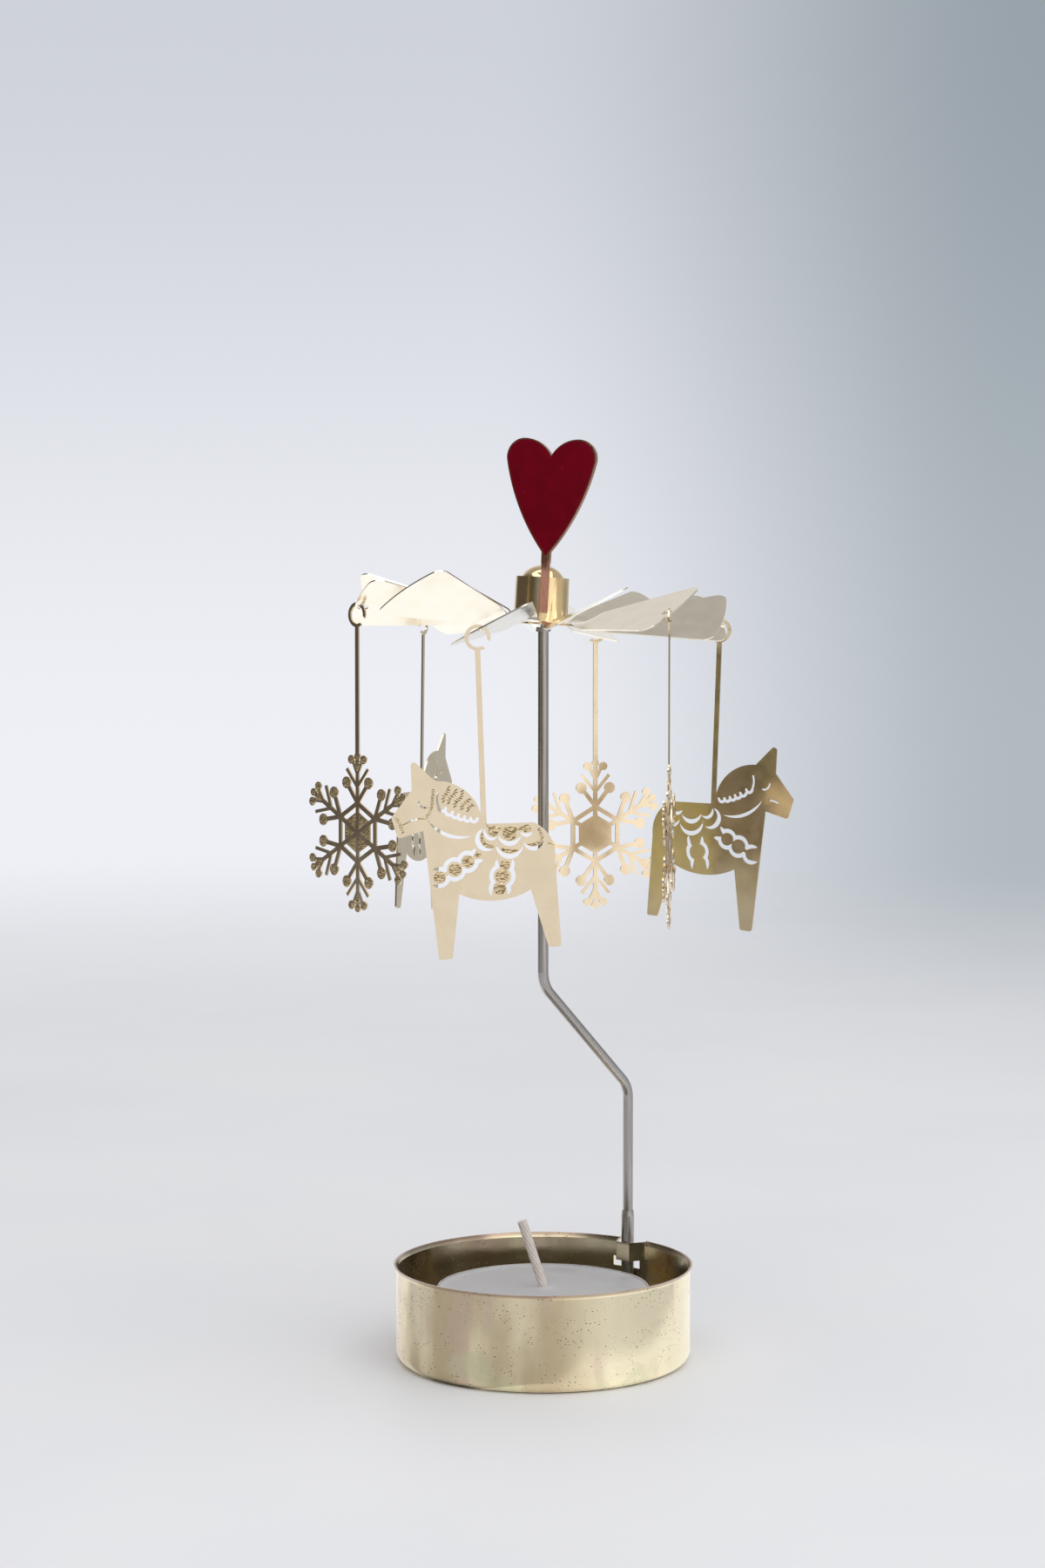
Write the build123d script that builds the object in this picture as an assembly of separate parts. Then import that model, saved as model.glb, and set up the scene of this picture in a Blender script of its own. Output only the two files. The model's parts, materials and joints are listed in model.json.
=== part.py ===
from build123d import *
from math import atan2, cos, degrees, hypot, radians, sin, sqrt, tan
import os

# Angel chime carousel: the warm air of a tealight turns a ring of hanging figures.
# Millimetres, +Z up, origin under the middle of the tin, pole at the rear on +Y.

# Clearances
fit = 0.02
seat_gap = 0.05
sleeve_play = 0.1
hang_gap = 0.18

# Tin
tin_radius = 26.4
tin_height = 17.2
tin_wall = 0.35
tin_corner = 2.0
rim_flare = 0.4
rim_height = 0.8

# Strip of the tin wall that is pushed in as a bridge for the pole
bridge_bottom = 13.7
bridge_drop = 0.1
bridge_flat = 2.8
bridge_spread = 6.0
window_bottom = 11.9
window_left = 4.1
window_right = 1.8

# Pole
pole_diameter = 1.9
pole_lower_bend = 46.1
pole_upper_bend = 67.3
pole_bend_radius = 5.0
sleeve_diameter = 2.4
sleeve_top = 22.9
sleeve_taper = 1.0
collar_diameter = 2.6
collar_height = 0.8

# Pivot
needle_diameter = 1.0
needle_set = 6.0
needle_point = 1.5
needle_tip_diameter = 0.16
bearing_diameter = 3.0
bearing_height = 2.2
bearing_cone_diameter = 2.2
bearing_cone_depth = 1.5

# Propeller
rotor_height = 132.0
rotor_gap = 0.5
blade_sheet = 0.25
blade_count = 12
blade_radius = 33.4
blade_root = 9.0
blade_neck = 4.0
blade_slit = 0.5
blade_twist = 30.0
blade_corner = 2.0
hole_diameter = 2.0
hole_bridge = 0.4
hole_turn = 2.8

# How far each blade is bent up from its root; they are bent by hand and differ
blade_rises = [-2.3, 7.1, 9.0, 6.5, 6.3, 6.9, 3.0, 5.8, 2.0, 7.1, 4.0, 9.4]

# The rotor rests on its needle out of level, low on this side
rotor_tilt = 3.4
rotor_tilt_turn = 40.0

# Hub dome and the band round it
dome_radius = 4.45
dome_height = 10.2
dome_wall = 0.3
flange_radius = 6.0
band_wall = 0.35
band_height = 7.1
band_lift = 0.65
band_seam = 0.8

# Heart
heart_sheet = 1.0
heart_height = 20.7
heart_width = 16.8
heart_lobe = 3.3
heart_notch = 3.0
heart_side_lean = 12.0
heart_twist = -26.0
stem_width = 1.5
stem_lift = 0.8
stem_below_twist = 0.8
stem_twist_length = 2.1
stem_above_twist = 0.6
topper_turn = -46.5

# Ring hook and rod of every pendant
pendant_sheet = 0.3
ring_bore = 3.2
ring_strip = 0.6
ring_gap = 1.4
ring_gap_turn = 215.0
rod_width = 0.9

# The ring bears on the hole's rim between the way out and its own plane
bearing_share = 1.2

# How the pendants hang: turn of the first one about the axis, and the yaw of each
first_hook_turn = -68.4
hang_yaw = [65.0, 49.0, 39.0, 52.0, 61.0, 56.0]

# Horse: places measured from the foot of its rod, nose towards +X
horse_drop = 29.0
horse_lean = 1.1
horse_corner = 0.4
crest_foot = (0.3, 0.0)
crest_middle = (2.7, 5.2)
crest_top = (8.3, 7.2)
ear_back = (11.3, 10.1)
ear_tip = (11.9, 10.35)
ear_front = (12.35, 9.8)
forehead = (12.15, 5.7)
nose = (15.6, 1.1)
muzzle = (14.5, -2.4)
throat = (10.2, -1.1)
front_toe = (7.6, -22.85)
front_heel = (5.3, -22.65)
belly_front = (4.2, -11.8)
belly_middle = (-1.5, -12.95)
belly_rear = (-7.9, -11.1)
rear_toe = (-10.95, -20.85)
rear_heel = (-13.1, -20.75)
rump_low = (-12.0, -6.0)
rump_middle = (-11.15, -2.2)
rump_top = (-8.4, 0.2)

# Cut-through ornament of the horse
mane_scallop = 0.58
mane_scallop_turns = (190, 160)
mane_scallops = [(1.7, 0.95), (2.8, 1.05), (3.85, 1.3), (4.85, 1.65), (5.9, 2.1), (7.05, 2.75)]
mane_slot = 0.55
mane_tail = [(7.6, 2.7), (7.9, 3.9), (7.8, 5.1)]
mane_tail_width = 0.42
bit_line = [(12.6, 0.45), (11.8, 0.75), (10.9, 0.95)]
bit_width = 0.3
rein_ends = [(9.6, 0.85), (1.85, -1.95)]
rein_low = (7.3, -1.65)
rein_high = (6.9, -1.22)
eye = [(9.7, 2.8), (10.6, 3.0), (11.0, 3.8)]
eye_width = 0.32

# Rows of beads: middle and radius of each bead, then place and width where each end of the row holds on
bead_margin = 0.2
bead_slot = 0.75
link_width = 0.6
breast_beads = [((7.45, -8.95), 0.85), ((4.95, -7.6), 1.1), ((2.75, -6.35), 0.95), ((1.2, -5.4), 0.35)]
breast_ties = [((10.0, -8.95), 2.9), ((0.0, -4.65), 4.0)]
girth_beads = [((-3.5, -7.0), 0.75), ((-3.1, -8.85), 1.3), ((-2.65, -10.9), 0.95)]
girth_ties = [((-3.5, -5.0), 3.2), ((-2.65, -13.5), 3.6)]

# Crescent slots of the saddle: middle, outer radius and thickness of each
saddle_crescents = [
    ((-1.2, -1.5), 1.3, 0.6),
    ((-0.4, -2.65), 1.95, 0.85),
    ((-4.3, -1.75), 2.0, 0.8),
    ((-4.3, -3.55), 2.35, 0.8),
    ((-7.15, -1.15), 1.1, 0.6),
    ((-8.3, -2.85), 1.7, 0.65),
]

# Direction of the thick side of each crescent, and how far its horns lie from it
saddle_turns = [(305, 100), (337, 110), (270, 85), (274, 97), (270, 80), (265, 90)]

# Snowflake: radii from its middle, and sizes of one arm that points up
flake_drop = 22.0
flake_arms = 6
flake_radius = 14.1
hex_outer = 5.65
hex_strip = 0.95
hex_core = 3.75
spoke_width = 0.8
branch_foot = 5.2
branch_knob = (2.85, 8.75)
knob_radius = 1.05
twig_foot = 8.0
twig_tip = (2.75, 11.2)
twig_width = 0.6
node_diamond = [(0, 7.2), (0.75, 8.6), (0, 9.8), (-0.75, 8.6)]
spade = [(0, 9.6), (1.5, 12.6), (-1.5, 12.6)]
leaf_knob = (1.6, 12.85)
leaf_radius = 0.78
tip_radius = 0.7
pinhole = (0.55, 12.3)
pinhole_radius = 0.17

# Tealight
tealight_radius = 19.0
tealight_height = 12.5
tealight_wall = 0.2
wax_recess = 0.4
wick_diameter = 1.7
wick_length = 12.2
wick_lean = 18.0
wick_upright = 0.6
wick_bend_radius = 2.0
wick_turn = 220.0
sustainer_diameter = 9.0
sustainer_sheet = 0.3
sustainer_neck = 3.0

# Heights and places that follow from the sizes above
blades_per_hook = blade_count // len(hang_yaw)
tin_floor = tin_wall
pole_offset = tin_radius - tin_wall - sleeve_play - sleeve_diameter / 2
pole_top = rotor_height - dome_wall - rotor_gap
dome_top = rotor_height + dome_height
dome_centre = dome_top - dome_radius
bearing_bottom = dome_top - dome_wall - bearing_height
needle_tip = bearing_bottom + bearing_cone_depth - seat_gap
band_inner = dome_radius + fit
band_outer = band_inner + band_wall
band_bottom = rotor_height + blade_sheet + band_lift
band_top = band_bottom + band_height
twist_start = band_top + stem_below_twist
twist_end = twist_start + stem_twist_length
heart_tip = twist_end + stem_above_twist
ring_inner = ring_bore / 2
ring_outer = ring_inner + ring_strip
ring_middle = ring_inner + ring_strip / 2
tealight_bottom = tin_floor + seat_gap
tealight_top = tealight_bottom + tealight_height
wax_top = tealight_top - wax_recess


def disc(radius, bottom, top):
    """Upright cylinder on the axis between two heights."""
    return Pos(0, 0, (bottom + top) / 2) * Cylinder(radius, top - bottom)


def tube(outer, inner, bottom, top):
    """Upright tube on the axis between two heights."""
    return disc(outer, bottom, top) - disc(inner, bottom, top)


def block(width, depth, bottom, top, centre_y):
    """Upright box, centred on X, between two heights."""
    return Pos(0, centre_y, (bottom + top) / 2) * Box(width, depth, top - bottom)


def strip(start, end, width):
    """Flat bar between two points of a sketch."""
    run = (end[0] - start[0], end[1] - start[1])
    middle = ((start[0] + end[0]) / 2, (start[1] + end[1]) / 2)
    turn = degrees(atan2(run[1], run[0]))
    return Pos(*middle) * Rot(0, 0, turn) * Rectangle(hypot(*run), width)


def dot(centre, radius):
    """Round spot in a sketch."""
    return Pos(*centre) * Circle(radius)


def crescent(centre, radius, thickness, turn, spread):
    """Lune whose thick side lies in one direction, its horns spread to both sides of it."""
    inner = radius - thickness
    horn = radius * cos(radians(spread))
    shift = (radius**2 - inner**2) / (2 * (inner - horn))
    away = (centre[0] - shift * cos(radians(turn)), centre[1] - shift * sin(radians(turn)))
    return dot(centre, radius) - dot(away, inner + shift)


def groove(points, width):
    """Slot of even width along an arc through three points."""
    return SlotArc(ThreePointArc(*points), width)


def shallow_cup(radius, wall, corner, bottom, top):
    """Thin drawn cup with a rounded bottom edge."""
    outside = disc(radius, bottom, top)
    outside = fillet(outside.edges().sort_by(Axis.Z)[0], corner)
    inside = disc(radius - wall, bottom + wall, top)
    inside = fillet(inside.edges().sort_by(Axis.Z)[0], corner - wall)
    return outside - inside


def base_tin():
    """Tin with a flared rim and a bridge pushed in from the wall."""
    shoulder = tin_height - rim_height
    cup = shallow_cup(tin_radius, tin_wall, tin_corner, 0, shoulder)
    lip = Polyline(
        (tin_radius - tin_wall, 0, shoulder),
        (tin_radius, 0, shoulder),
        (tin_radius + rim_flare, 0, tin_height),
        (tin_radius + rim_flare - tin_wall, 0, tin_height),
        close=True,
    )
    rim = revolve(make_face(lip), Axis.Z)
    tin = cup + rim

    half_spread = bridge_spread / 2
    wall_middle = tin_radius - tin_wall / 2
    wall_y = sqrt(wall_middle**2 - half_spread**2)
    flat_y = pole_offset - sleeve_diameter / 2 - sleeve_play - tin_wall / 2
    cut_depth = 2 * (tin_radius - flat_y) + bridge_spread
    tin -= block(bridge_spread, cut_depth, bridge_bottom, tin_height, tin_radius)
    window = block(window_left + window_right, cut_depth, window_bottom, bridge_bottom, tin_radius)
    tin -= Pos((window_right - window_left) / 2, 0, 0) * window
    plan = Polyline(
        (-half_spread, wall_y),
        (-bridge_flat / 2, flat_y),
        (bridge_flat / 2, flat_y),
        (half_spread, wall_y),
    )
    bridge_height = tin_height - bridge_drop - bridge_bottom
    bridge = extrude(SlotArc(plan, tin_wall), bridge_height)
    return tin + Pos(0, 0, bridge_bottom) * bridge


def foot_height():
    """Height at which the sleeve stands on the rounded corner of the tin."""
    corner = tin_corner - tin_wall
    reach = corner - sleeve_play
    return tin_corner - sqrt(corner**2 - reach**2) + seat_gap


def bent_pole():
    """Wire that stands at the wall, slants to the axis and runs up to the rotor."""
    route = FilletPolyline(
        (0, pole_offset, foot_height()),
        (0, pole_offset, pole_lower_bend),
        (0, 0, pole_upper_bend),
        (0, 0, pole_top),
        radius=pole_bend_radius,
    )
    section = Plane(route @ 0, z_dir=route % 0) * Circle(pole_diameter / 2)
    wire = sweep(section, path=route)
    return wire - disc(needle_diameter / 2 + fit, pole_top - needle_set - fit, pole_top)


def foot_sleeve():
    """Tube pressed on the lower end of the pole, tapered at its top."""
    radius = sleeve_diameter / 2
    bore = pole_diameter / 2 + fit
    shoulder = sleeve_top - sleeve_taper
    body = disc(radius, foot_height(), shoulder)
    taper = Pos(0, 0, shoulder + sleeve_taper / 2) * Cone(radius, (radius + bore) / 2, sleeve_taper)
    return Pos(0, pole_offset, 0) * (body + taper - disc(bore, foot_height(), sleeve_top))


def pole_collar():
    """Ring on the top of the pole, just under the rotor."""
    return tube(collar_diameter / 2, pole_diameter / 2 + fit, pole_top - collar_height, pole_top)


def pivot_needle():
    """Pointed pin set in the top of the pole."""
    cone_start = needle_tip - needle_point
    shank = disc(needle_diameter / 2, pole_top - needle_set, cone_start)
    middle = cone_start + needle_point / 2
    point = Pos(0, 0, middle) * Cone(needle_diameter / 2, needle_tip_diameter / 2, needle_point)
    return shank + point


def blade_turn(number):
    """Direction of a blade; the hooks hang on every second one."""
    return first_hook_turn + hole_turn + number * 360 / blade_count


def blade_root_frame(number):
    """Level frame at the root of a blade, X outwards."""
    return Rot(0, 0, blade_turn(number)) * Pos(blade_root, 0, rotor_height + blade_sheet / 2)


def blade_frame(number):
    """Frame of a bent blade: X outwards, Y towards the raised edge."""
    return blade_root_frame(number) * Rot(0, -blade_rises[number], 0) * Rot(blade_twist, 0, 0)


def resting(shape):
    """Rotor piece, or place on it, as it leans about the point of the needle."""
    turn = Rot(0, 0, rotor_tilt_turn) * Rot(0, rotor_tilt, 0) * Rot(0, 0, -rotor_tilt_turn)
    return Pos(0, 0, needle_tip) * turn * Pos(0, 0, -needle_tip) * shape


def half_width(radius):
    """Half the width of a blade at a radius of the flat disc."""
    return radius * tan(radians(180 / blade_count)) - blade_slit / 2


def hole_place():
    """Hook hole in the frame of its blade, beside the middle line on the low side."""
    radius = blade_radius - hole_bridge - hole_diameter / 2
    turn = radians(hole_turn)
    return radius * cos(turn) - blade_root, -radius * sin(turn)


def blade(number):
    """One twisted blade with the neck that joins it to the hub."""
    step = radians(180 / blade_count)
    tip_x = blade_radius * cos(step)
    tip_y = blade_radius * sin(step) - blade_slit / 2
    neck_y = half_width(blade_root + blade_neck)
    inner_edge = Line((blade_neck, neck_y), (blade_neck, -neck_y))
    low_edge = Line((blade_neck, -neck_y), (tip_x - blade_root, -tip_y))
    outer_edge = ThreePointArc(
        (tip_x - blade_root, -tip_y),
        (blade_radius - blade_root, 0),
        (tip_x - blade_root, tip_y),
    )
    high_edge = Line((tip_x - blade_root, tip_y), (blade_neck, neck_y))
    face = make_face([inner_edge, low_edge, outer_edge, high_edge])
    outer_corners = face.vertices().sort_by(Axis.X)[-2:]
    face = fillet(outer_corners, blade_corner)
    if number % blades_per_hook == 0:
        face -= dot(hole_place(), hole_diameter / 2)
    frame = blade_frame(number)
    plate = frame * extrude(face, blade_sheet / 2, both=True)

    across = Plane(origin=(0, 0, 0), x_dir=(0, 1, 0), z_dir=(1, 0, 0)).location
    root = blade_root_frame(number)
    root_section = root * across * Rectangle(2 * half_width(blade_root), blade_sheet)
    neck_section = frame * Pos(blade_neck, 0, 0) * across * Rectangle(2 * neck_y, blade_sheet)
    return plate + loft([root_section, neck_section])


def propeller():
    """Disc of thin sheet, slit into blades."""
    side_turn = blade_turn(0) + 180 / blade_count
    hub = Rot(0, 0, side_turn) * RegularPolygon(blade_root, blade_count, major_radius=False)
    hub = extrude(hub - Circle(dome_radius + fit), blade_sheet)
    return Pos(0, 0, rotor_height) * hub + [blade(number) for number in range(blade_count)]


def hub_dome():
    """Drawn thimble with a flange that carries the propeller."""
    flange_bottom = rotor_height - dome_wall
    inner = dome_radius - dome_wall
    outside = disc(dome_radius, flange_bottom, dome_centre) + Pos(0, 0, dome_centre) * Sphere(dome_radius)
    outside += disc(flange_radius, flange_bottom, rotor_height - fit)
    inside = disc(inner, flange_bottom, dome_centre) + Pos(0, 0, dome_centre) * Sphere(inner)
    return outside - inside


def bearing_cup():
    """Turned cup in the crown of the dome, with a cone for the needle."""
    crown = Pos(0, 0, dome_centre) * Sphere(dome_radius - dome_wall - fit)
    cup = disc(bearing_diameter / 2, bearing_bottom, dome_top) & crown
    middle = bearing_bottom + bearing_cone_depth / 2
    return cup - Pos(0, 0, middle) * Cone(bearing_cone_diameter / 2, 0, bearing_cone_depth)


def hub_band():
    """Strip rolled round the dome, its seam opposite the heart."""
    band = tube(band_outer, band_inner, band_bottom, band_top)
    band -= block(band_seam, 2 * band_wall, band_bottom, band_top, band_inner + band_wall / 2)
    return Rot(0, 0, topper_turn + 90) * band


def heart_outline():
    """Slim heart with rounded lobes and gently curved sides, its tip at the origin."""
    lobe_x = heart_width / 2 - heart_lobe
    lobe_y = heart_height - heart_lobe
    rise = (sin(radians(heart_side_lean)), cos(radians(heart_side_lean)))
    shoulder = (lobe_x + heart_lobe * rise[1], lobe_y - heart_lobe * rise[0])
    top = (lobe_x, heart_height)
    side = TangentArc(shoulder, (0, 0), tangent=(-rise[0], -rise[1]))
    lobe = TangentArc(shoulder, top, tangent=rise)
    inner = TangentArc(top, (0, heart_height - heart_notch), tangent=(-1, 0))
    right = [side, lobe, inner]
    left = [mirror(edge, Plane.YZ) for edge in right]
    return make_face(right + left)


def heart_topper():
    """Heart on a stem; the stem lies on the front of the band and twists above it."""
    plane_y = -(band_outer + fit + heart_sheet / 2)
    middle = Pos(0, plane_y, 0)
    turned = middle * Rot(0, 0, heart_twist)
    section = Rectangle(stem_width, heart_sheet)
    tongue = middle * block(stem_width, heart_sheet, band_bottom + stem_lift, twist_start, 0)
    twisted = loft([middle * Pos(0, 0, twist_start) * section, turned * Pos(0, 0, twist_end) * section])
    neck = block(stem_width, heart_sheet, twist_end, heart_tip + stem_width, 0)
    plate = extrude(Plane.XZ * heart_outline(), heart_sheet / 2, both=True)
    heart = turned * (neck + Pos(0, 0, heart_tip) * plate)
    return Rot(0, 0, topper_turn + 90) * (tongue + twisted + heart)


def bead_tie(bead, place, width):
    """Neck that widens from a bead to the place where it holds on."""
    centre, radius = bead
    start = radius + bead_margin
    run = (place[0] - centre[0], place[1] - centre[1])
    reach = hypot(*run)
    corners = [(0, -start), (reach, -width / 2), (reach, width / 2), (0, start)]
    turn = degrees(atan2(run[1], run[0]))
    return Pos(*centre) * Rot(0, 0, turn) * make_face(Polyline(*corners, close=True))


def bead_chain(beads, ties):
    """Pair of scalloped slots beside a row of beads, whose end beads hold on to the sheet around."""
    outer = Sketch() + [dot(centre, radius + bead_margin + bead_slot) for centre, radius in beads]
    inner = Sketch() + [dot(centre, radius + bead_margin) for centre, radius in beads]
    centres = [centre for centre, radius in beads]
    for start, end in zip(centres, centres[1:]):
        inner += strip(start, end, link_width)
    for bead, tie in zip([beads[0], beads[-1]], ties):
        inner += bead_tie(bead, *tie)
    return outer - inner


def horse_ornament():
    """All cut-through slots of the horse."""
    cuts = Sketch()
    for centre in mane_scallops:
        cuts += SlotArc(CenterArc(centre, mane_scallop, *mane_scallop_turns), mane_slot)
    cuts += groove(mane_tail, mane_tail_width)
    cuts += groove(bit_line, bit_width)
    cuts += groove(eye, eye_width)
    start, end = rein_ends
    cuts += make_face([ThreePointArc(start, rein_low, end), ThreePointArc(end, rein_high, start)])
    for sizes, turns in zip(saddle_crescents, saddle_turns):
        cuts += crescent(*sizes, *turns)
    return cuts + bead_chain(breast_beads, breast_ties) + bead_chain(girth_beads, girth_ties)


def horse_sketch():
    """Flat horse, the foot of its rod at the origin."""
    outline = make_face(
        [
            ThreePointArc(crest_foot, crest_middle, crest_top),
            Line(crest_top, ear_back),
            ThreePointArc(ear_back, ear_tip, ear_front),
            Polyline(ear_front, forehead, nose, muzzle, throat, front_toe, front_heel, belly_front),
            ThreePointArc(belly_front, belly_middle, belly_rear),
            Polyline(belly_rear, rear_toe, rear_heel, rump_low),
            ThreePointArc(rump_low, rump_middle, rump_top),
            Line(rump_top, crest_foot),
        ]
    )
    rounded = [nose, muzzle, front_toe, front_heel, rear_toe, rear_heel]
    corners = [outline.vertices().sort_by_distance((*place, 0))[0] for place in rounded]
    return fillet(corners, horse_corner) - horse_ornament()


def flake_arm():
    """One arm of the snowflake, pointing up."""
    tip = (0, flake_radius - tip_radius)
    arm = strip((0, hex_core / 2), tip, spoke_width) + dot(tip, tip_radius)
    arm += make_face(Polyline(*node_diamond, close=True))
    arm += make_face(Polyline(*spade, close=True))
    for side in (-1, 1):
        knob = (side * branch_knob[0], branch_knob[1])
        twig = (side * twig_tip[0], twig_tip[1])
        leaf = (side * leaf_knob[0], leaf_knob[1])
        arm += strip((0, branch_foot), knob, spoke_width)
        arm += dot(knob, knob_radius)
        arm += strip((0, twig_foot), twig, twig_width)
        arm += dot(leaf, leaf_radius)
        arm -= dot((side * pinhole[0], pinhole[1]), pinhole_radius)
    return arm


def flake_sketch():
    """Flat snowflake, its middle at the origin."""
    arm = flake_arm()
    step = 360 / flake_arms
    ring = RegularPolygon(hex_outer, flake_arms) - RegularPolygon(hex_outer - hex_strip, flake_arms)
    hexagons = Rot(0, 0, step / 2) * (ring + RegularPolygon(hex_core, flake_arms))
    return hexagons + [Rot(0, 0, number * step) * arm for number in range(flake_arms)]


def pendant(figure, rod_foot):
    """Sheet with ring hook, rod and figure, its ring's middle at the origin."""
    ring = Circle(ring_outer) - Circle(ring_inner)
    ring -= Rot(0, 0, ring_gap_turn) * Pos(ring_middle, 0) * Rectangle(2 * ring_strip, ring_gap)
    rod = strip((0, -ring_middle), rod_foot, rod_width)
    hook = extrude(ring + rod, pendant_sheet / 2, both=True)
    return hook + extrude(figure, pendant_sheet / 2, both=True)


def horse_pendant():
    """Horse that hangs from a slightly slanted rod."""
    foot = (-horse_lean, -ring_outer - horse_drop)
    return pendant(Pos(*foot) * horse_sketch(), (foot[0], foot[1] - rod_width))


def snowflake_pendant():
    """Snowflake that hangs from an upright rod."""
    middle = -ring_outer - flake_drop - flake_radius
    return pendant(Pos(0, middle) * flake_sketch(), (0, middle + flake_radius - tip_radius))


def hang_plane(number):
    """Plane of a pendant, at the middle of its ring hook in the hole of its blade."""
    hook_turn = radians(first_hook_turn + number * 360 / len(hang_yaw) - hang_yaw[number])
    along = Vector(cos(hook_turn), sin(hook_turn), 0)
    hook_blade = blade_frame(number * blades_per_hook)
    hole = Plane(resting(hook_blade * Pos(*hole_place(), blade_sheet / 2)))
    slope = along - Vector(0, 0, 1) * (along.dot(hole.z_dir) / hole.z_dir.Z)
    bearing = hole.x_dir * bearing_share + slope.normalized()
    contact = hole.origin + bearing.normalized() * (hole_diameter / 2)
    middle = contact - Vector(0, 0, ring_inner - hang_gap)
    return Plane(origin=middle, x_dir=along, z_dir=along.cross(Vector(0, 0, 1)))


def tealight_cup():
    """Thin aluminium cup of the tealight."""
    bottom = tealight_bottom
    cup = disc(tealight_radius, bottom, tealight_top)
    return cup - disc(tealight_radius - tealight_wall, bottom + tealight_wall, tealight_top)


def wick_route():
    """Wick runs up through the wax, then leans over."""
    start = tealight_bottom + tealight_wall + sustainer_sheet + fit
    bend = wax_top + wick_upright
    lean = radians(wick_lean)
    turn = radians(wick_turn)
    side = wick_length * sin(lean)
    tip = (side * cos(turn), side * sin(turn), bend + wick_length * cos(lean))
    return FilletPolyline((0, 0, start), (0, 0, bend), tip, radius=wick_bend_radius)


def tealight_wick():
    """Cotton wick."""
    route = wick_route()
    section = Plane(route @ 0, z_dir=route % 0) * Circle(wick_diameter / 2)
    return sweep(section, path=route)


def wick_sustainer():
    """Stamped plate with a short neck that holds the wick upright."""
    floor = tealight_bottom + tealight_wall
    plate = disc(sustainer_diameter / 2, floor, floor + sustainer_sheet)
    bore = wick_diameter / 2 + fit
    neck_bottom = floor + sustainer_sheet
    neck = tube(bore + sustainer_sheet, bore, neck_bottom, neck_bottom + sustainer_neck)
    return plate + neck


def tealight_wax():
    """Wax cast round the wick and its plate."""
    floor = tealight_bottom + tealight_wall
    plate_top = floor + sustainer_sheet + fit
    bore = wick_diameter / 2 + fit
    wax = disc(tealight_radius - tealight_wall - fit, floor + fit, wax_top)
    wax -= disc(sustainer_diameter / 2 + fit, floor, plate_top)
    wax -= disc(bore + sustainer_sheet + fit, floor, plate_top + sustainer_neck)
    return wax - disc(bore, floor, wax_top)


nodes = {
    "base_tin": base_tin(),
    "bent_pole": bent_pole(),
    "pole_foot_sleeve": foot_sleeve(),
    "pole_top_collar": pole_collar(),
    "pivot_needle": pivot_needle(),
    "propeller": resting(propeller()),
    "hub_dome": resting(hub_dome()),
    "bearing_cup": resting(bearing_cup()),
    "hub_band": resting(hub_band()),
    "heart_topper": resting(heart_topper()),
    "tealight_cup": tealight_cup(),
    "tealight_wax": tealight_wax(),
    "tealight_wick": tealight_wick(),
    "wick_sustainer": wick_sustainer(),
}
figures = [("horse_pendant", horse_pendant()), ("snowflake_pendant", snowflake_pendant())]
for number in range(len(hang_yaw)):
    name, shape = figures[number % len(figures)]
    nodes[f"{name}_{number // len(figures) + 1}"] = hang_plane(number).location * shape

os.makedirs("parts", exist_ok=True)
for name, shape in nodes.items():
    export_step(shape, f"parts/{name}.step")
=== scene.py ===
import bmesh
import bpy
import json
import random
from math import atan2, cos, degrees, exp, hypot, pi, radians, sin
from mathutils import Matrix, Vector
from mathutils.geometry import delaunay_2d_cdt


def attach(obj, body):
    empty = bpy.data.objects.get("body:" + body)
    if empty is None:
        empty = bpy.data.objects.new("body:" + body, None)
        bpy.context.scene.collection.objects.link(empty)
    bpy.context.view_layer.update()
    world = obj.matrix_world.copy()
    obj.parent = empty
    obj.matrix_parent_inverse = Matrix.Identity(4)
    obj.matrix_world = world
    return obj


# Looks of the angel chime carousel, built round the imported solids.
# Sizes of the ornament, the heart, the wax and the lens, and the grain and depth of a finish, are in
# millimetres; other lengths are in metres.
# A heading is seen from the object: degrees to the right of the camera, and upwards.
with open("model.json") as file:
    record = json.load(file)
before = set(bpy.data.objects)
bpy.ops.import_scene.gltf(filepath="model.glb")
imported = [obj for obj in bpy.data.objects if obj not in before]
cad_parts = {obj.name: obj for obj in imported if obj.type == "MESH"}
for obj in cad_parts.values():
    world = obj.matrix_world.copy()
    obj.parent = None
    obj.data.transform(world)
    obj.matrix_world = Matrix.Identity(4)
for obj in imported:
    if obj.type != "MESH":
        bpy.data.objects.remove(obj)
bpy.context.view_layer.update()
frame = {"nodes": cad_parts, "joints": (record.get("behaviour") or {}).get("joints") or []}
joints = {joint["name"]: joint for joint in frame["joints"]}

MM = 0.001
UP = Vector((0, 0, 1))

# Colour sockets of a Mix node, and the way of triangulating that fills the whole hull
MIX_FIRST = 6
MIX_SECOND = 7
MIX_RESULT = 2
FILL_HULL = 0

# Camera: where the photograph was taken from
camera_turn = 40.0
camera_distance = 522.5 * MM
camera_side = -3.7 * MM
camera_height = 131.5 * MM
camera_pitch = 3.09
camera_lens = 67.45
camera_sensor = 36.0
camera_near = 10 * MM

# Floor: a pale disc that fades out
floor_radius = 1.3
floor_fade_start = 0.25
floor_fade_end = 1.2
floor_drop = 0.05 * MM
floor_rings = 12
floor_sides = 96
floor_grey = (0.84, 0.85, 0.88)
floor_white = (0.88, 0.885, 0.90)
floor_clouds = 120
floor_roughness = 0.55

# Soft boxes round the object: heading, distance, size and power
light_target = Vector((0, 0, 0.08))
soft_boxes = [
    ("key", 35, 35, 1.2, 0.7, 0.6),
    ("top", 10, 72, 1.4, 1.9, 14.5),
]

# Bright card on the table behind the object, mirrored in the blades
bounce_turn = 180
bounce_distance = 0.19
bounce_size = 0.34
bounce_power = 0.125

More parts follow.
